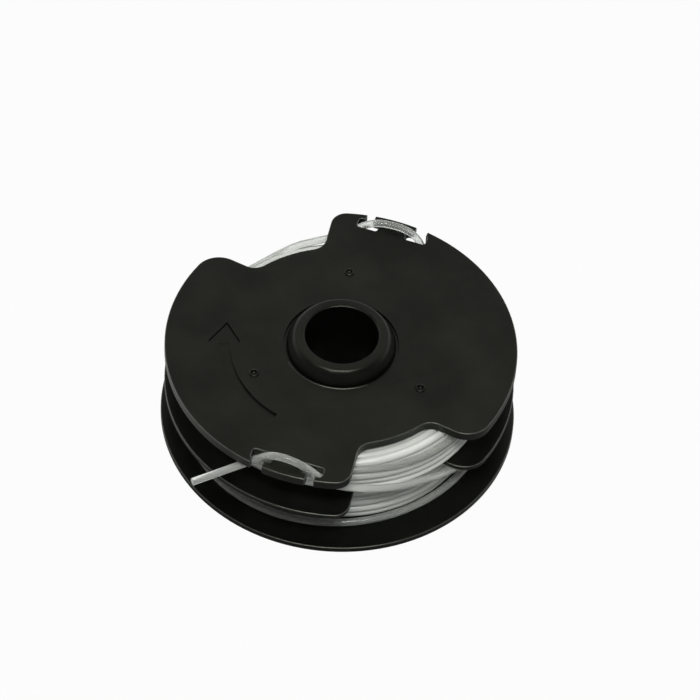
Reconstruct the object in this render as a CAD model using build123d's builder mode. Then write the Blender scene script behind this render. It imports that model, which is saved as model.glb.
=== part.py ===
from build123d import *

import os
from math import cos, pi, radians, sin, tan

# A twin-line trimmer spool: one black moulding with three flanges, and two nylon lines wound on its
# drum, one in each channel. Millimetres. The bore's axis is Z and the bottom flange stands on height 0.
# The two cut-outs lie on +Y and -Y, and angles run anticlockwise from +X, seen from above.

# Flanges and channels, from the bottom upwards
bottom_flange_radius = 38.8
bottom_flange_thickness = 1.4
middle_flange_radius = 38.0
middle_flange_thickness = 1.2
top_flange_radius = 38.0
top_flange_thickness = 2.2
channel_height = 9.05

# Drum, hollow from below, and the tube in its middle
drum_radius = 24.2
drum_wall = 1.8
bore_radius = 8.0
tube_wall = 2.2
anchor_hole_diameter = 2.2

# Collar round the bore, standing in a shallow moat in the top face
collar_height = 3.3
collar_top_radius = 10.1
collar_base_radius = 11.8
collar_edge = 0.6
bore_lip = 0.4
moat_width = 0.65
moat_depth = 0.6

# Two cut-outs through the top and middle flanges, where line passes between the channels
side_count = 2
cutout_floor_radius = 27.7
cutout_floor_width = 16.3
cutout_rim_width = 29.2
cutout_floor_corner = 3.6
cutout_tab_corner = 3.6
cutout_lobe_corner = 5.6

# Line-holding tabs, each between two notches in the rim of the top flange
tab_angle = 46.0
tab_width = 9.6
tab_root_width = 6.4
cutout_side_mouth = 1.8
far_side_mouth = 2.6
notch_pocket_width = 4.7
notch_pocket_depth = 2.5
tab_head_depth = 2.0
notch_corner_radius = 0.6

# Moulding gate marks on the top face
gate_count = 3
gate_radius = 20.6
gate_first_angle = 60.0
gate_dimple_diameter = 1.7
gate_dimple_depth = 0.35

# Drive lugs inside the drum
lug_count = 8
lug_width = 1.6
lug_depth = 2.2
lug_setback = 2.0

# Line and its winding
line_diameter = 1.65
line_sides = 8
winding_layers = 5
winding_rows = 5
visible_layers = 2
ridge_height = 0.65
winding_clearance = 0.15
arc_share = 0.45

# Line ends outside the windings, from the winding to the cut end. Each point is radius, degrees from
# the tab's middle towards the cut-out, and height above the top face.
upper_tail_points = [
    (33.8, 57.0, -3.4),
    (33.9, 42.0, -3.5),
    (34.2, 27.0, -3.9),
    (35.0, 14.2, -4.7),
    (35.4, 4.4, 2.1),
    (35.4, -4.4, 2.1),
    (35.2, -12.9, -4.2),
    (36.0, -22.0, -4.8),
]
lower_tail_points = [
    (34.0, 73.0, -15.2),
    (34.0, 63.0, -13.9),
    (33.9, 49.0, -11.1),
    (33.9, 35.0, -9.1),
    (34.2, 24.5, -7.2),
    (35.0, 13.8, -4.9),
    (35.4, 4.4, 2.1),
    (35.4, -4.4, 2.1),
    (35.2, -12.9, -4.2),
    (47.2, -21.2, -3.8),
]

# Heights and radii that follow
lower_channel_floor = bottom_flange_thickness
middle_flange_bottom = lower_channel_floor + channel_height
upper_channel_floor = middle_flange_bottom + middle_flange_thickness
top_flange_bottom = upper_channel_floor + channel_height
top_face = top_flange_bottom + top_flange_thickness
collar_top = top_face + collar_height
drum_inner_radius = drum_radius - drum_wall
tube_radius = bore_radius + tube_wall
moat_radius = collar_base_radius + moat_width
cutout_side_offset = (tab_width + cutout_side_mouth) / 2
far_side_offset = (tab_width + far_side_mouth) / 2
pocket_offset = (tab_root_width + notch_pocket_width) / 2
pocket_radius = top_flange_radius - tab_head_depth - notch_pocket_depth / 2

os.makedirs("parts", exist_ok=True)


def polar_point(radius, angle, height):
    """A point given round the bore's axis."""
    return Vector(radius * cos(radians(angle)), radius * sin(radians(angle)), height)


def chord_point(radius, half_width):
    """The point of a circle that lies half_width beside the Y axis."""
    return (half_width, (radius**2 - half_width**2) ** 0.5)


def flange_outline(flange_radius):
    """A flange's outline in the present sketch: a disc with the two cut-outs, corners rounded."""
    floor_right = chord_point(cutout_floor_radius, cutout_floor_width / 2)
    rim_right = chord_point(flange_radius, cutout_rim_width / 2)
    floor_left = (-floor_right[0], floor_right[1])
    rim_left = (-rim_right[0], rim_right[1])
    outer_right = (2 * rim_right[0] - floor_right[0], 2 * rim_right[1] - floor_right[1])
    outer_left = (-outer_right[0], outer_right[1])

    Circle(flange_radius)
    with PolarLocations(0, side_count):
        with BuildSketch(mode=Mode.PRIVATE) as cutout:
            with BuildLine():
                Line(floor_right, outer_right)
                Line(outer_right, outer_left)
                Line(outer_left, floor_left)
                ThreePointArc(floor_left, (0, cutout_floor_radius), floor_right)
            make_face()
        add(cutout.sketch, mode=Mode.SUBTRACT)

    def corners(point):
        both = [point, (-point[0], -point[1])]
        return [min(vertices(), key=lambda v: (v.X - x) ** 2 + (v.Y - y) ** 2) for x, y in both]

    fillet(corners(floor_right) + corners(floor_left), cutout_floor_corner)
    fillet(corners(rim_right), cutout_tab_corner)
    fillet(corners(rim_left), cutout_lobe_corner)


def tab_notches():
    """Both tabs' notches, cut from the present sketch: a mouth in the rim and a wider pocket behind it."""
    with BuildSketch(mode=Mode.PRIVATE) as notch:
        with Locations((pocket_radius, pocket_offset), (pocket_radius, -pocket_offset)):
            RectangleRounded(notch_pocket_depth, notch_pocket_width, notch_corner_radius)
        mouth_depth = tab_head_depth + notch_pocket_depth / 2
        with Locations((top_flange_radius, cutout_side_offset)):
            Rectangle(2 * mouth_depth, cutout_side_mouth)
        with Locations((top_flange_radius, -far_side_offset)):
            Rectangle(2 * mouth_depth, far_side_mouth)
    for side in range(side_count):
        angle = tab_angle + 360 / side_count * side
        add(notch.sketch.rotate(Axis.Z, angle), mode=Mode.SUBTRACT)


with BuildPart() as spool_body:
    # Tube, collar, web, drum and bottom flange turned from one section
    with BuildSketch(Plane.XZ):
        with BuildLine():
            Polyline(
                (bore_radius, 0),
                (tube_radius, 0),
                (tube_radius, top_flange_bottom),
                (drum_inner_radius, top_flange_bottom),
                (drum_inner_radius, 0),
                (bottom_flange_radius, 0),
                (bottom_flange_radius, bottom_flange_thickness),
                (drum_radius, bottom_flange_thickness),
                (drum_radius, top_face),
                (moat_radius, top_face),
                (moat_radius, top_face - moat_depth),
                (collar_base_radius, top_face - moat_depth),
                (collar_base_radius, top_face),
                (collar_top_radius, collar_top),
                (bore_radius, collar_top),
                close=True,
            )
        make_face()
        collar_corners = vertices().group_by(Axis.Y)[-1].sort_by(Axis.X)
        chamfer(collar_corners[0], bore_lip)
        chamfer(collar_corners[-1], collar_edge)
    revolve(axis=Axis.Z)

    # Middle flange, with the cut-outs
    with BuildSketch(Plane.XY.offset(middle_flange_bottom)):
        flange_outline(middle_flange_radius)
        Circle(drum_inner_radius + drum_wall / 2, mode=Mode.SUBTRACT)
    extrude(amount=middle_flange_thickness)

    # Top flange, with the cut-outs and the tabs' notches
    with BuildSketch(Plane.XY.offset(top_flange_bottom)):
        flange_outline(top_flange_radius)
        tab_notches()
        Circle(drum_inner_radius + drum_wall / 2, mode=Mode.SUBTRACT)
    extrude(amount=top_flange_thickness)

    # Drive lugs on the drum's inner wall, under the web
    lug_height = top_flange_bottom - lug_setback
    with BuildSketch(Plane.XY.offset(lug_setback)):
        with PolarLocations(drum_inner_radius, lug_count, start_angle=180 / lug_count):
            Rectangle(2 * lug_depth, lug_width)
        Circle(drum_radius - drum_wall / 2, mode=Mode.INTERSECT)
    extrude(amount=lug_height)

    # Gate marks, shallow dimples where the moulding was fed
    with BuildSketch(Plane.XY.offset(top_face)):
        with PolarLocations(gate_radius, gate_count, start_angle=gate_first_angle):
            Circle(gate_dimple_diameter / 2)
    extrude(amount=-gate_dimple_depth, mode=Mode.SUBTRACT)

    # A hole in the drum of each channel, for the line's inner end
    for floor, direction in ((lower_channel_floor, 1), (upper_channel_floor, -1)):
        hole_plane = Plane((0, 0, floor + channel_height / 2), x_dir=(0, 0, 1), z_dir=(direction, 0, 0))
        with BuildSketch(hole_plane.offset(drum_inner_radius - drum_wall)):
            Circle(anchor_hole_diameter / 2)
        extrude(amount=3 * drum_wall, mode=Mode.SUBTRACT)

spool_body.part.label = "spool_body"
export_step(spool_body.part, "parts/spool_body.step")


def winding_outline(channel_floor):
    """Half section of a winding, with a ridge for each turn that shows on its outer and top faces."""
    inner = drum_radius + winding_clearance
    bottom = channel_floor + winding_clearance
    top = channel_floor + channel_height - winding_clearance
    outer = inner + winding_layers * line_diameter
    row_pitch = (top - bottom) / winding_rows
    points = [(inner, bottom)]
    for row in range(winding_rows):
        foot = bottom + row * row_pitch
        points += [(outer - ridge_height, foot), (outer, foot + row_pitch / 2)]
    for layer in range(visible_layers):
        edge = outer - layer * line_diameter
        points += [(edge - line_diameter / 2, top), (edge - line_diameter, top - ridge_height)]
    points.append((inner, top - ridge_height))
    return points


def cord_radii(points):
    """The arc at each corner of a route, as large as its two runs allow."""
    radii = []
    for before, here, after in zip(points, points[1:], points[2:]):
        run_in = here - before
        run_out = after - here
        half_turn = radians(run_in.get_angle(run_out)) / 2
        radii.append(arc_share * min(run_in.length, run_out.length) / tan(half_turn))
    return radii


with BuildPart() as upper_line_winding:
    with BuildSketch(Plane.XZ):
        with BuildLine():
            Polyline(winding_outline(upper_channel_floor), close=True)
        make_face()
    revolve(axis=Axis.Z)
upper_line_winding.part.label = "upper_line_winding"
export_step(upper_line_winding.part, "parts/upper_line_winding.step")

with BuildPart() as lower_line_winding:
    with BuildSketch(Plane.XZ):
        with BuildLine():
            Polyline(winding_outline(lower_channel_floor), close=True)
        make_face()
    revolve(axis=Axis.Z)
lower_line_winding.part.label = "lower_line_winding"
export_step(lower_line_winding.part, "parts/lower_line_winding.step")

upper_route = [polar_point(r, tab_angle + a, top_face + h) for r, a, h in upper_tail_points]
lower_route = [polar_point(r, tab_angle + 180 + a, top_face + h) for r, a, h in lower_tail_points]

with BuildPart() as upper_line_tail:
    with BuildLine() as upper_path:
        FilletPolyline(upper_route, radius=cord_radii(upper_route))
    with BuildSketch(Plane(origin=upper_path.line @ 0, z_dir=upper_path.line % 0)):
        RegularPolygon(line_diameter / 2, line_sides, major_radius=False)
    sweep()
upper_line_tail.part.label = "upper_line_tail"
export_step(upper_line_tail.part, "parts/upper_line_tail.step")

with BuildPart() as lower_line_tail:
    with BuildLine() as lower_path:
        FilletPolyline(lower_route, radius=cord_radii(lower_route))
    with BuildSketch(Plane(origin=lower_path.line @ 0, z_dir=lower_path.line % 0)):
        RegularPolygon(line_diameter / 2, line_sides, major_radius=False)
    sweep()
lower_line_tail.part.label = "lower_line_tail"
export_step(lower_line_tail.part, "parts/lower_line_tail.step")

for name, route, path, tail in (
    ("upper", upper_route, upper_path, upper_line_tail),
    ("lower", lower_route, lower_path, lower_line_tail),
):
    length = sum(edge.length for edge in path.edges())
    plain_volume = line_sides * tan(pi / line_sides) * (line_diameter / 2) ** 2 * length
    print(name, "line arc radii", [round(radius, 1) for radius in cord_radii(route)])
    print(name, "line end length", round(length, 2), "volume", round(tail.part.volume / plain_volume, 5))
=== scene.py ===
# %% [markdown]
# # Trimmer line spool
# A spare part for a garden trimmer: one black moulding with three flanges, and two clear nylon lines wound on it.
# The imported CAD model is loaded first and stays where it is, and what is made here keeps to its sizes.
# Blender adds what a CAD model leaves out: lines that are really wound, edges that catch the light, and finishes.

# %% Load the frame
import random
from math import cos, pi, radians, sin

import bmesh
import bpy
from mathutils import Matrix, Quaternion, Vector


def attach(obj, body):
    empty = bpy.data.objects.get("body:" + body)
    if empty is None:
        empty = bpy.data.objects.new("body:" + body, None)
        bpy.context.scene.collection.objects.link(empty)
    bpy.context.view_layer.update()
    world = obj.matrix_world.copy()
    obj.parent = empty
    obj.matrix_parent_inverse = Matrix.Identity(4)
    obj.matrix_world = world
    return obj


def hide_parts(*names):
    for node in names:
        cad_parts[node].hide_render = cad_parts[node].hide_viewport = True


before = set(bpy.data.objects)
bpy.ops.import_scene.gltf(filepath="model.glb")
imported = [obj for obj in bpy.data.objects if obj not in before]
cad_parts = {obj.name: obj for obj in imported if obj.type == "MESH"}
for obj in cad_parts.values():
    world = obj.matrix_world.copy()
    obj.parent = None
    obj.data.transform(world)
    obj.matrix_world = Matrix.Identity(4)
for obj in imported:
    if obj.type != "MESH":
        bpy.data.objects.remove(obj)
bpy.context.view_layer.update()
MM = 0.001

# %% [markdown]
# ## Camera
# The photograph looks down on the spool from its front left, with a long lens and a slight roll.
# A camera could be aimed with a Track To constraint, but a roll is easier with quaternions: the first one turns the
# camera towards a point, and the second one turns it about its own line of sight.

# %% Camera at the photograph's view
view_target = Vector((1.342, -1.652, 22.003)) * MM
view_azimuth = radians(-27.87)
view_elevation = radians(49.98)
view_distance = 789.5 * MM
view_roll = radians(3.53)

towards_camera = Vector((
    sin(view_azimuth) * cos(view_elevation),
    -cos(view_azimuth) * cos(view_elevation),
    sin(view_elevation),
))
camera = bpy.data.objects.new("camera", bpy.data.cameras.new("camera"))
bpy.context.scene.collection.objects.link(camera)
camera.data.lens = 188.73
camera.data.sensor_width = 36.0
camera.data.clip_start = 0.01
camera.location = view_target + towards_camera * view_distance
camera.rotation_mode = "QUATERNION"
camera.rotation_quaternion = towards_camera.to_track_quat("Z", "Y") @ Quaternion((0, 0, 1), view_roll)
bpy.context.scene.camera = camera
print("camera at", [round(x, 4) for x in camera.location])

# %% [markdown]
# ## The wound lines
# Each line starts in a hole in the drum, is wound clockwise in its channel, and ends in a tail that is clipped over
# a tab of the top flange. A texture on a plain ring could suggest the turns, but the ring's edge would stay too clean.
# So each line is one long NURBS curve with a round bevel. Twenty-four control points a turn keep it round. Such a curve
# runs a little inside its control points, so they are set out by the same share.

# %% Sizes of the line and its winding
line_diameter = 1.65
drum_radius = 24.2
channel_gap = 0.15
row_pitch = 1.75
row_count = 5
points_per_turn = 24
curve_shrink = 0.9915
crossover_share = 0.16
radius_uneven = 0.13
height_uneven = 0.1
slack_wave = 0.6
slack_waves = 2
slack_peak_angle = 190.0
top_face = 22.9


def on_circle(radius, angle, height):
    """A point round the bore's axis, given in millimetres and degrees."""
    return Vector((radius * cos(radians(angle)), radius * sin(radians(angle)), height)) * MM


# %% [markdown]
# A winding fills one layer after another. In a layer each turn keeps to its row, and near the end of the turn it
# crosses over to the next row. The seats below say which layer and row every turn takes, from the drum outwards.
# A little seeded unevenness keeps the turns from looking machined, and an outer turn may also hang loose in waves.

# %% Seats and points of one winding
def layer_seats(layers):
    """Layer, row and slack of each turn of full layers, wound up and down the channel in turn."""
    seats = []
    for layer in range(layers):
        rows = range(row_count) if layer % 2 == 0 else range(row_count - 1, -1, -1)
        seats += [(layer, row, 0.0) for row in rows]
    return seats


def winding_points(seats, channel_floor, start_angle, turns, seed, lead=0.0):
    """Control points of a winding in metres, clockwise seen from above.

    The turns of the last layer cross over earlier than the others, by this lead as a share of a turn.
    """
    uneven = random.Random(seed)
    places = []
    for layer, row, slack in seats:
        radius = drum_radius + channel_gap + line_diameter * (layer + 0.5)
        height = channel_floor + channel_gap + row_pitch * (row + 0.5)
        radius += uneven.uniform(-radius_uneven, radius_uneven)
        height += uneven.uniform(-height_uneven, height_uneven)
        places.append((radius, height, slack))
    last_layer = seats[-1][0]
    points = []
    for step in range(1, int(turns * points_per_turn) + 1):
        turn, share = divmod(step / points_per_turn, 1)
        seat = int(turn)
        here = Vector(places[seat])
        after = Vector(places[min(seat + 1, len(places) - 1)])
        early = lead if seats[seat][0] == last_layer else 0.0
        along = min(1.0, max(0.0, (share - 1 + crossover_share + early) / crossover_share))
        radius, height, slack = here.lerp(after, along * along * (3 - 2 * along))
        angle = start_angle - 360 * step / points_per_turn
        radius += slack * (1 + slack_wave * cos(radians(slack_waves * (angle - slack_peak_angle))))
        points.append(on_circle(radius / curve_shrink, angle, height))
    return points


# %% [markdown]
# The tails follow the routes of the CAD source. Each point is a radius, the degrees from the tab's middle towards the
# cut-out, and a height above the top face. The points over the tab hold up the hump, and the last ones keep the free
# end straight, because a spline of order 3 only touches the middle of each run.

# %% Route of each tail
upper_tail = [
    (32.3, 39.0, -3.2),
    (32.7, 30.0, -3.3),
    (34.0, 21.5, -3.7),
    (35.2, 16.8, -4.0),
    (35.0, 14.4, -2.4),
    (34.7, 11.8, -0.5),
    (34.8, 8.8, 0.65),
    (35.15, 5.2, 1.15),
    (35.25, 1.0, 1.3),
    (35.3, -3.4, 1.3),
    (35.1, -7.2, 1.05),
    (34.8, -10.4, 0.2),
    (34.7, -12.2, -1.8),
    (34.8, -14.6, -3.9),
    (35.4, -20.0, -4.6),
]
lower_tail = [
    (32.6, 81.0, -14.6),
    (33.4, 71.0, -14.7),
    (33.6, 61.5, -12.8),
    (33.6, 52.0, -10.6),
    (33.6, 43.0, -9.65),
    (33.6, 34.0, -8.65),
    (34.0, 26.0, -7.1),
    (34.5, 19.0, -5.6),
    (34.9, 14.2, -4.2),
    (35.2, 10.6, -1.5),
    (35.4, 6.2, 1.0),
    (35.4, 0.8, 2.15),
    (35.4, -4.2, 1.95),
    (35.4, -8.4, 0.2),
    (35.2, -12.6, -3.1),
    (36.4, -15.2, -4.2),
    (47.2, -22.2, -3.8),
]
back_tab_angle = 46.0
front_tab_angle = 226.0


def tail_points(route, tab_angle):
    """A tail's control points in metres."""
    return [on_circle(radius, tab_angle + away, top_face + height) for radius, away, height in route]


# %% Curve of a line
def wound_line(name, points):
    """One open NURBS spline of order 3 along these control points, with a round section."""
    curve = bpy.data.curves.new(name, "CURVE")
    curve.dimensions = "3D"
    curve.bevel_depth = 1.0
    curve.bevel_resolution = 5
    curve.resolution_u = 3
    curve.use_fill_caps = True
    spline = curve.splines.new("NURBS")
    spline.points.add(len(points) - 1)
    for control, point in zip(spline.points, points):
        control.co = (*point, 1.0)
        control.radius = line_diameter / 2 * MM
    spline.order_u = 3
    spline.use_endpoint_u = True
    line = bpy.data.objects.new(name, curve)
    bpy.context.scene.collection.objects.link(line)
    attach(line, "root")
    print(name, "has", len(points), "control points")
    return line


# %% [markdown]
# The upper line ends in the top row of its channel, at the back, where it leaves for the back tab. Its outer turns
# change rows early, so they slant across the front cut-out, and the last full turn stands a little proud of the rest.

# %% Upper line
upper_floor = 11.65
upper_start_angle = 180.0
upper_anchor_height = 16.175
upper_turn_count = 24.2
upper_start = on_circle(drum_radius, upper_start_angle, upper_anchor_height)
upper_seats = layer_seats(4) + [(4, 0, 0.0), (4, 1, 0.0), (4, 2, 0.0), (4, 3, 0.3), (4, 4, 0.0)]
upper_turns = winding_points(upper_seats, upper_floor, upper_start_angle, upper_turn_count, seed=4, lead=0.16)
upper_line = wound_line("upper_line", [upper_start, *upper_turns, *tail_points(upper_tail, back_tab_angle)])
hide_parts("upper_line_winding", "upper_line_tail")

# %% [markdown]
# The lower line has less in its last layer: one loose turn at the bottom, which then crosses to the top row and rises
# through the front cut-out to the front tab. That leaves the dark hollow between its rows that the photograph shows.

# %% Lower line
lower_floor = 1.4
lower_start_angle = 0.0
lower_anchor_height = 5.925
lower_turn_count = 21.13
lower_start = on_circle(drum_radius, lower_start_angle, lower_anchor_height)
lower_seats = layer_seats(4) + [(4, 0, 1.3), (4, 4, 0.0)]
lower_turns = winding_points(lower_seats, lower_floor, lower_start_angle, lower_turn_count, seed=9)
lower_line = wound_line("lower_line", [lower_start, *lower_turns, *tail_points(lower_tail, front_tab_angle)])
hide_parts("lower_line_winding", "lower_line_tail")

# %% [markdown]
# ## The moulding
# The CAD solid has the right shape, but its edges are perfectly sharp, and a sharp edge never shows the thin bright
# line that gives a moulding away. A Bevel modifier would round every edge, so a copy of the mesh is bevelled
# instead: its triangles are welded, flat areas are joined, and only the outward edges are rounded.

# %% Weld a copy of the moulding
weld_distance = 1e-6
flat_limit = radians(0.5)
moulding = bmesh.new()
moulding.from_mesh(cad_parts["spool_body"].data)
bmesh.ops.remove_doubles(moulding, verts=moulding.verts[:], dist=weld_distance)
bmesh.ops.dissolve_limit(moulding, angle_limit=flat_limit, verts=moulding.verts[:], edges=moulding.edges[:])
print("welded moulding:", len(moulding.verts), "vertices", len(moulding.faces), "faces")

# %% Round its outward edges
edge_round = 0.18 * MM
sharp_limit = radians(40)
collar_zone = 13.0 * MM
gate_reach = 1.2 * MM
gate_radius = 20.6
gate_places = [on_circle(gate_radius, angle, top_face) for angle in (60.0, 180.0, 300.0)]
edge_wear_highlight_layer = moulding.faces.layers.float.new("edge_wear_and_painted_highlight")


def is_outward(edge):
    """True for a sharp convex edge that hands and line can reach, so not at the collar or the gates. Its rounded faces
    are painted paler: partly wear, partly a painted highlight.
    """
    sharp = edge.is_manifold and edge.is_convex and edge.calc_face_angle() > sharp_limit
    place = edge.verts[0].co
    at_gate = any((place - gate).length < gate_reach for gate in gate_places)
    return sharp and not at_gate and place.xy.length > collar_zone


outward = [edge for edge in moulding.edges if is_outward(edge)]
rounded = bmesh.ops.bevel(
    moulding, geom=outward, offset=edge_round, offset_type="OFFSET", segments=3, profile=0.5,
    affect="EDGES", clamp_overlap=False, material=-1,
)
# The rounded faces are marked for a paler colour: partly wear, partly a painted highlight along the edges.
for face in rounded["faces"]:
    face[edge_wear_highlight_layer] = 1.0
print("rounded", len(outward), "edges with", len(rounded["faces"]), "faces")


# %% Make the moulding an object
def as_object(name, shape):
    """Makes an object of a bmesh, which is then freed."""
    mesh = bpy.data.meshes.new(name)
    shape.to_mesh(mesh)
    shape.free()
    made = bpy.data.objects.new(name, mesh)
    bpy.context.scene.collection.objects.link(made)
    print(name, "has", len(mesh.polygons), "faces")
    return made


spool = as_object("spool_moulding", moulding)

# %% [markdown]
# ## Arrow and gate marks
# A shallow arrow in the top face shows which way the line is wound. It could be painted on, but in the photograph its
# far walls are dark and its near ones can't be seen, so it is a real recess. A flat outline is spun and extruded into
# a cutter, whose floor rises towards the arrow's head. Each gate dimple is filled by the ring of plastic that was left
# when the moulding was broken from its feed, and a little flash stands round the front of the moat.

# %% Sizes of the arrow
arrow_depth = 0.6
arrow_floor = top_face - arrow_depth
arrow_inner = 24.0
arrow_outer = 26.45
arrow_tail_angle = 210.6
arrow_neck_angle = 154.4
shaft_gap = 1.7
shaft_steps = 30
ramp_share = 0.55
ramp_rise = 0.75 * arrow_depth * MM
head_inner = 21.83
head_outer = 28.46
head_tip_radius = 25.2
head_tip_angle = 142.7
stroke_width = 0.62 * MM


def make_cutter(name, flat):
    """Extrudes a flat outline upwards through the top face, and makes it an object."""
    raised = bmesh.ops.extrude_face_region(flat, geom=flat.faces[:])
    top = [item for item in raised["geom"] if isinstance(item, bmesh.types.BMVert)]
    bmesh.ops.translate(flat, verts=top, vec=(0, 0, 2 * arrow_depth * MM))
    bmesh.ops.recalc_face_normals(flat, faces=flat.faces[:])
    return as_object(name, flat)


# %% Cutter for the arrow's shaft
shaft_turn = radians(arrow_neck_angle + shaft_gap - arrow_tail_angle)
shaft = bmesh.new()
shaft_end = [
    shaft.verts.new(on_circle(radius, arrow_tail_angle, arrow_floor)) for radius in (arrow_inner, arrow_outer)
]
shaft_edge = shaft.edges.new(shaft_end)
bmesh.ops.spin(
    shaft, geom=[*shaft_end, shaft_edge], axis=(0, 0, 1), cent=(0, 0, 0), angle=shaft_turn, steps=shaft_steps
)
tail_way = on_circle(1.0, arrow_tail_angle, 0.0)
for corner in shaft.verts:
    along = corner.co.xy.angle(tail_way.xy) / abs(shaft_turn)
    corner.co.z += max(0.0, along - 1 + ramp_share) / ramp_share * ramp_rise
shaft_cutter = make_cutter("arrow_shaft_cutter", shaft)

# %% Cutter for the arrow's head
head_foot_outer = on_circle(head_outer, arrow_neck_angle, arrow_floor)
head_foot_inner = on_circle(head_inner, arrow_neck_angle, arrow_floor)
head_tip = on_circle(head_tip_radius, head_tip_angle, arrow_floor)
stroke = (head_foot_outer + head_foot_inner - 2 * head_tip).normalized() * stroke_width
head_corners = [head_foot_outer, head_tip, head_foot_inner]
head_corners += [corner + stroke for corner in reversed(head_corners)]
head = bmesh.new()
head.faces.new([head.verts.new(corner) for corner in head_corners])
head_cutter = make_cutter("arrow_head_cutter", head)

# %% Rings in the gate dimples
ring_profile = [
    (0.0, -0.9), (1.22, -0.9), (1.2, -0.1), (1.13, 0.12), (1.0, 0.26), (0.85, 0.31),
    (0.72, 0.24), (0.62, 0.06), (0.54, -0.14), (0.44, -0.28), (0.22, -0.34), (0.0, -0.35),
]
ring_steps = 24
gates = bmesh.new()
for place in gate_places:
    outline = [gates.verts.new(place + Vector((radius, 0, height)) * MM) for radius, height in ring_profile]
    runs = [gates.edges.new(pair) for pair in zip(outline, outline[1:])]
    bmesh.ops.spin(
        gates, geom=[*outline, *runs], axis=(0, 0, 1), cent=place, angle=2 * pi, steps=ring_steps, use_merge=True
    )
bmesh.ops.remove_doubles(gates, verts=gates.verts[:], dist=weld_distance)
bmesh.ops.recalc_face_normals(gates, faces=gates.faces[:])
gate_rings = as_object("gate_rings", gates)

# %% Ridge of flash round the moat
ridge_radius = 12.5
ridge_round = 0.28
ridge_sink = 0.18
ridge_start_angle = 181.3
ridge_arc = 90.0
ridge_steps = 46
ridge_sides = 8
ridge_wear_and_highlight = 0.35
ridge = bmesh.new()
ridge_wear_highlight_layer = ridge.faces.layers.float.new("edge_wear_and_painted_highlight")
ring = [
    ridge.verts.new(on_circle(
        ridge_radius + ridge_round * cos(2 * pi / ridge_sides * corner),
        ridge_start_angle,
        top_face - ridge_sink + ridge_round * sin(2 * pi / ridge_sides * corner),
    ))
    for corner in range(ridge_sides)
]
ring_edges = [ridge.edges.new((ring[corner - 1], ring[corner])) for corner in range(ridge_sides)]
bmesh.ops.spin(
    ridge, geom=[*ring, *ring_edges], axis=(0, 0, 1), cent=(0, 0, 0), angle=radians(ridge_arc), steps=ridge_steps
)
bmesh.ops.holes_fill(ridge, edges=ridge.edges[:], sides=0)
bmesh.ops.recalc_face_normals(ridge, faces=ridge.faces[:])
# The ridge is marked paler too: partly wear, partly a painted highlight.
for face in ridge.faces:
    face[ridge_wear_highlight_layer] = ridge_wear_and_highlight
moat_ridge = as_object("moat_ridge", ridge)

# %% Cut the arrow, and add the rings and the ridge
changes = {
    shaft_cutter: "DIFFERENCE",
    head_cutter: "DIFFERENCE",
    gate_rings: "UNION",
    moat_ridge: "UNION",
}
for tool, operation in changes.items():
    change = spool.modifiers.new(tool.name, "BOOLEAN")
    change.object = tool
    change.operation = operation
    change.solver = "EXACT"
finished = bpy.data.meshes.new_from_object(spool.evaluated_get(bpy.context.evaluated_depsgraph_get()))
spool.modifiers.clear()
spool.data = finished
finished.name = "spool_moulding_finished"
for tool in changes:
    bpy.data.objects.remove(tool)
print("finished moulding:", len(finished.vertices), "vertices", len(finished.polygons), "faces")

# %% [markdown]
# Smooth shading over a bevel would also bend the light on the large flat faces beside it. A Weighted Normal modifier
# lets the large faces decide, so the flats stay flat and only the rounded edges curve.

# %% Shade and place the moulding
smooth_limit = radians(42)
finished.shade_smooth()
finished.set_sharp_from_angle(angle=smooth_limit)
shading = spool.modifiers.new("flat_faces_first", "WEIGHTED_NORMAL")
shading.keep_sharp = True
shading.weight = 60
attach(spool, "root")
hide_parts("spool_body")

# %% [markdown]
# ## Materials
# Materials are built from nodes. The functions below make the kinds of node that come back again and again, so that
# the cells after them read as a list of choices. Each takes the outputs of other nodes and gives back its own.

# %% Nodes that the materials share
def new_material(name):
    """A material with nodes, its node tree and its shader."""
    material = bpy.data.materials.new(name)
    material.use_nodes = True
    return material, material.node_tree, material.node_tree.nodes["Principled BSDF"]


def add_math(tree, operation, one, other=0.0):
    """One step of arithmetic on an output and a number, or on two outputs."""
    step = tree.nodes.new("ShaderNodeMath")
    step.operation = operation
    tree.links.new(one, step.inputs[0])
    if isinstance(other, float):
        step.inputs[1].default_value = other
    else:
        tree.links.new(other, step.inputs[1])
    return step.outputs["Value"]


def add_range(tree, value, from_range, to_range, interpolation="LINEAR"):
    """Maps a value from one range to another."""
    mapped = tree.nodes.new("ShaderNodeMapRange")
    mapped.interpolation_type = interpolation
    for socket, level in zip(("From Min", "From Max", "To Min", "To Max"), (*from_range, *to_range)):
        mapped.inputs[socket].default_value = level
    tree.links.new(value, mapped.inputs["Value"])
    return mapped.outputs["Result"]


def add_noise(tree, place, scale, detail):
    """A noise on these coordinates."""
    noise = tree.nodes.new("ShaderNodeTexNoise")
    noise.inputs["Scale"].default_value = scale
    noise.inputs["Detail"].default_value = detail
    tree.links.new(place, noise.inputs["Vector"])
    return noise.outputs["Fac"]


def add_ramp(tree, value, *stops):
    """A colour that goes from one stop to the other. Each stop is a position and a colour."""
    ramp = tree.nodes.new("ShaderNodeValToRGB")
    for element, (position, colour) in zip(ramp.color_ramp.elements, stops):
        element.position = position
        element.color = colour
    tree.links.new(value, ramp.inputs["Fac"])
    return ramp.outputs["Color"]


def add_mix(tree, factor, value, level):
    """Goes from a value to a fixed level, which is a number or a colour, as the factor rises."""
    mix = tree.nodes.new("ShaderNodeMix")
    mix.data_type = "FLOAT" if isinstance(level, float) else "RGBA"
    mix.inputs["B"].default_value = level
    tree.links.new(factor, mix.inputs["Factor"])
    tree.links.new(value, mix.inputs["A"])
    return mix.outputs["Result"]


def add_bump(tree, height, strength, distance):
    """A normal that follows a height."""
    bump = tree.nodes.new("ShaderNodeBump")
    bump.inputs["Strength"].default_value = strength
    bump.inputs["Distance"].default_value = distance
    tree.links.new(height, bump.inputs["Height"])
    return bump.outputs["Normal"]
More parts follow.
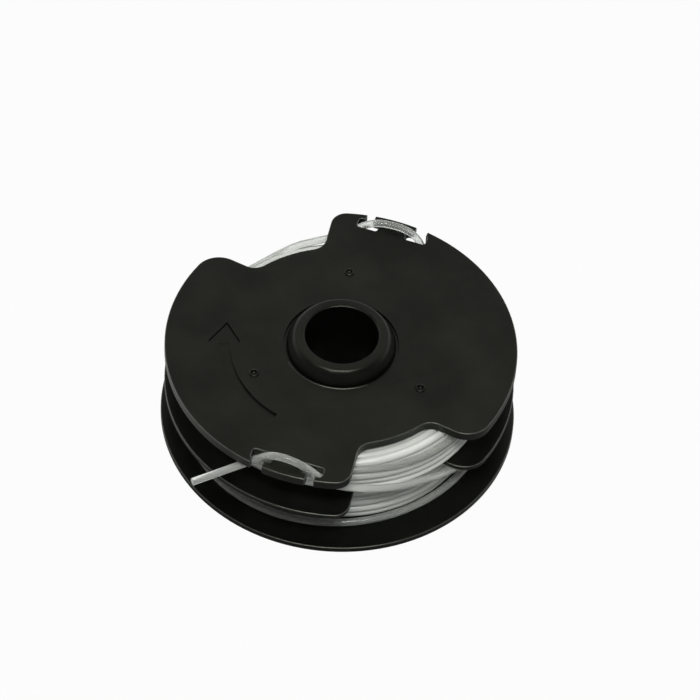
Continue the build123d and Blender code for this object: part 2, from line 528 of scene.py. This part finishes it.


# %% [markdown]
# ## Black moulded plastic
# The moulding is black plastic with a fine satin grain from its mould. A plain black would look like a hole in the
# picture, so three noises at different sizes break it up: broad flow marks, small mottling, and the grain, which only
# goes to the bump. The rounded edges are smoother and a little paler than the faces: partly wear, partly a painted
# highlight.

# %% Plastic material
plastic, p_tree, p_shader = new_material("black_moulded_plastic")
p_shader.inputs["Specular Tint"].default_value = (1.0, 1.04, 0.85, 1)
p_place = p_tree.nodes.new("ShaderNodeTexCoord").outputs["Object"]
flow = add_noise(p_tree, p_place, scale=75.0, detail=4.0)
mottle = add_noise(p_tree, p_place, scale=900.0, detail=4.0)
grain = add_noise(p_tree, p_place, scale=5200.0, detail=2.0)
p_attribute = p_tree.nodes.new("ShaderNodeAttribute")
p_attribute.attribute_name = "edge_wear_and_painted_highlight"
p_worn_highlit_edge = p_attribute.outputs["Fac"]

# %% Colour, roughness and grain of the plastic
p_black = add_ramp(p_tree, flow, (0.3, (0.0017, 0.0019, 0.0015, 1)), (0.7, (0.0029, 0.0032, 0.0025, 1)))
p_edge_paint_wear_and_highlight = add_math(p_tree, "MULTIPLY", p_worn_highlit_edge, mottle)
p_rough = add_range(p_tree, mottle, (0.0, 1.0), (0.29, 0.42))
p_gloss = add_range(p_tree, flow, (0.35, 0.65), (0.24, 0.33))
# Marked edges go paler in colour: partly wear, partly a painted highlight along the edges.
p_tree.links.new(add_mix(p_tree, p_edge_paint_wear_and_highlight, p_black, (0.09, 0.094, 0.086, 1)), p_shader.inputs["Base Color"])
p_tree.links.new(add_mix(p_tree, p_worn_highlit_edge, p_rough, 0.2), p_shader.inputs["Roughness"])
p_tree.links.new(add_mix(p_tree, p_worn_highlit_edge, p_gloss, 0.8), p_shader.inputs["Specular IOR Level"])
p_tree.links.new(add_bump(p_tree, grain, strength=0.18, distance=0.04 * MM), p_shader.inputs["Normal"])

spool.data.materials.clear()
spool.data.materials.append(plastic)
print("plastic nodes:", len(p_tree.nodes))

# %% [markdown]
# ## Clear nylon line
# The line is extruded nylon, clear but slightly milky, so light goes into it and comes out again nearby. Glass would
# look too clean and white paint too solid, so the shader mixes a pale body with some transmission. Turns that lie on
# other turns look milkier than the single strand of a tail, so the line clears towards its outer end. A bevelled curve
# has its own map, with one way along the line and the other way round it, so fine draw marks can run along the line.

# %% Nylon material
marks_per_line = 90.0
nylon, n_tree, n_shader = new_material("clear_nylon_line")
n_shader.inputs["IOR"].default_value = 1.53
n_place = n_tree.nodes.new("ShaderNodeTexCoord")
n_split = n_tree.nodes.new("ShaderNodeSeparateXYZ")
n_tree.links.new(n_place.outputs["UV"], n_split.inputs["Vector"])
n_along = n_split.outputs["X"]
n_turn = add_math(n_tree, "MULTIPLY", n_split.outputs["Y"], 2 * pi)
n_round = n_tree.nodes.new("ShaderNodeCombineXYZ")
n_tree.links.new(add_math(n_tree, "MULTIPLY", n_along, marks_per_line), n_round.inputs["X"])
n_tree.links.new(add_math(n_tree, "COSINE", n_turn), n_round.inputs["Y"])
n_tree.links.new(add_math(n_tree, "SINE", n_turn), n_round.inputs["Z"])

# %% Colour, roughness and draw marks of the nylon
draw_marks = add_noise(n_tree, n_round.outputs["Vector"], scale=4.0, detail=1.0)
milk = add_noise(n_tree, n_place.outputs["Object"], scale=70.0, detail=2.0)
n_pale = add_ramp(n_tree, milk, (0.32, (0.86, 0.89, 0.84, 1)), (0.68, (0.92, 0.94, 0.89, 1)))
n_tree.links.new(n_pale, n_shader.inputs["Base Color"])
n_tree.links.new(add_range(n_tree, draw_marks, (0.0, 1.0), (0.12, 0.22)), n_shader.inputs["Roughness"])
n_tree.links.new(add_bump(n_tree, draw_marks, strength=0.05, distance=0.05 * MM), n_shader.inputs["Normal"])

# %% How clear the nylon is along the line
clear_stretches = 40.0
stretch_noise = n_tree.nodes.new("ShaderNodeTexNoise")
stretch_noise.noise_dimensions = "1D"
stretch_noise.inputs["Scale"].default_value = 1.0
n_tree.links.new(add_math(n_tree, "MULTIPLY", n_along, clear_stretches), stretch_noise.inputs["W"])
n_vary = add_range(n_tree, stretch_noise.outputs["Fac"], (0.35, 0.65), (-0.2, 0.08))
n_clear = add_range(n_tree, n_along, (0.905, 0.925), (0.38, 0.78))
n_tree.links.new(add_math(n_tree, "ADD", n_clear, n_vary), n_shader.inputs["Transmission Weight"])

for line in (upper_line, lower_line):
    line.data.materials.append(nylon)
print("nylon nodes:", len(n_tree.nodes))

# %% [markdown]
# ## Floor, world and lights
# The photograph has a white ground with hardly any shadow. More light would bleach the object, so the floor is made
# white only for the rays that show it: those of the camera, of clear nylon and of gloss, told apart by Light Path.
# In front of the object a real floor lies in its shadow, so there the white fades out of the gloss, and under the
# object it fades out altogether. A share of real shading keeps the shadow in view.

# %% Floor
floor_half_side = 1.5
floor_drop = 0.05 * MM
ground = bmesh.new()
bmesh.ops.create_grid(ground, x_segments=1, y_segments=1, size=floor_half_side)
bmesh.ops.translate(ground, verts=ground.verts[:], vec=(0, 0, -floor_drop))
floor = as_object("floor", ground)

paper, g_tree, g_shader = new_material("white_ground")
g_shader.inputs["Base Color"].default_value = (0.25, 0.25, 0.25, 1)
g_shader.inputs["Roughness"].default_value = 0.9

# %% Where the floor is white, and for which rays
white_share = 0.965
g_place = g_tree.nodes.new("ShaderNodeTexCoord")
g_rays = g_tree.nodes.new("ShaderNodeLightPath")


def white_beyond(ray, centre, dark_radius, white_radius):
    """The share of white that rays of one kind see, nought within dark_radius of a centre."""
    reach = g_tree.nodes.new("ShaderNodeVectorMath")
    reach.operation = "DISTANCE"
    reach.inputs[1].default_value = Vector((*centre, 0)) * MM
    g_tree.links.new(g_place.outputs["Object"], reach.inputs[0])
    radii = (dark_radius * MM, white_radius * MM)
    white = add_range(g_tree, reach.outputs["Value"], radii, (0.0, white_share), "SMOOTHSTEP")
    return add_math(g_tree, "MULTIPLY", g_rays.outputs[ray], white)


g_camera = white_beyond("Is Camera Ray", (0, 0), 30.0, 38.0)
g_clear = white_beyond("Is Transmission Ray", (0, 0), 30.0, 38.0)
g_gloss = white_beyond("Is Glossy Ray", (20, -30), 60.0, 110.0)
g_white = add_math(g_tree, "MAXIMUM", add_math(g_tree, "MAXIMUM", g_camera, g_clear), g_gloss)
g_glow = g_tree.nodes.new("ShaderNodeEmission")
g_mix = g_tree.nodes.new("ShaderNodeMixShader")
g_tree.links.new(g_white, g_mix.inputs["Fac"])
g_tree.links.new(g_shader.outputs["BSDF"], g_mix.inputs[1])
g_tree.links.new(g_glow.outputs["Emission"], g_mix.inputs[2])
g_tree.links.new(g_mix.outputs["Shader"], g_tree.nodes["Material Output"].inputs["Surface"])
floor.data.materials.append(paper)
print("floor nodes:", len(g_tree.nodes))

# %% [markdown]
# The world stands for the studio: a white backdrop behind the spool, a dim ceiling, and a darker room on the camera's
# side. Black plastic shows mostly what it mirrors. Its top face mirrors the ceiling and its front walls mirror the
# room, so those levels set how black the spool looks. The camera itself always sees white there.

# %% World
ceiling_level = 0.55
room_level = 0.2
world = bpy.data.worlds.new("studio")
world.use_nodes = True
bpy.context.scene.world = world
w_tree = world.node_tree
w_back = w_tree.nodes["Background"]
w_back.inputs["Color"].default_value = (1, 1, 1, 1)
w_way = w_tree.nodes.new("ShaderNodeTexCoord")
w_rays = w_tree.nodes.new("ShaderNodeLightPath")


def level_along(direction, low, high, low_level, high_level):
    """A level that changes smoothly with how far the sky lies along a direction."""
    along = w_tree.nodes.new("ShaderNodeVectorMath")
    along.operation = "DOT_PRODUCT"
    along.inputs[1].default_value = direction
    w_tree.links.new(w_way.outputs["Generated"], along.inputs[0])
    return add_range(w_tree, along.outputs["Value"], (low, high), (low_level, high_level), "SMOOTHSTEP")


behind = Vector((-towards_camera.x, -towards_camera.y, 0)).normalized()
w_height = level_along((0, 0, 1), 0.1, 0.45, 1.0, ceiling_level)
w_side = level_along(behind, -0.4, 0.5, room_level, 1.0)
w_studio = add_math(w_tree, "MULTIPLY", w_height, w_side)
w_level = add_math(w_tree, "MAXIMUM", w_studio, w_rays.outputs["Is Camera Ray"])
w_tree.links.new(w_level, w_back.inputs["Strength"])
print("world nodes:", len(w_tree.nodes))


# %% Soft lights
def soft_light(name, place, width, depth, power):
    """A rectangular area light that faces the spool."""
    lamp = bpy.data.lights.new(name, "AREA")
    lamp.shape = "RECTANGLE"
    lamp.size = width
    lamp.size_y = depth
    lamp.energy = power
    holder = bpy.data.objects.new(name, lamp)
    bpy.context.scene.collection.objects.link(holder)
    holder.location = place
    holder.rotation_mode = "QUATERNION"
    holder.rotation_quaternion = Vector(place).to_track_quat("Z", "Y")
    holder.visible_transmission = False
    print(name, "of", power, "W")
    return holder


back_light = soft_light("back_softbox", 0.36 * behind + Vector((0, 0, 0.62)), 0.3, 0.3, 1.5)
back_light.visible_glossy = False
soft_light("key_strip", -0.25 * behind + Vector((0, 0, 0.53)), 0.35, 0.14, 2.1)
bpy.context.scene.view_settings.view_transform = "Standard"
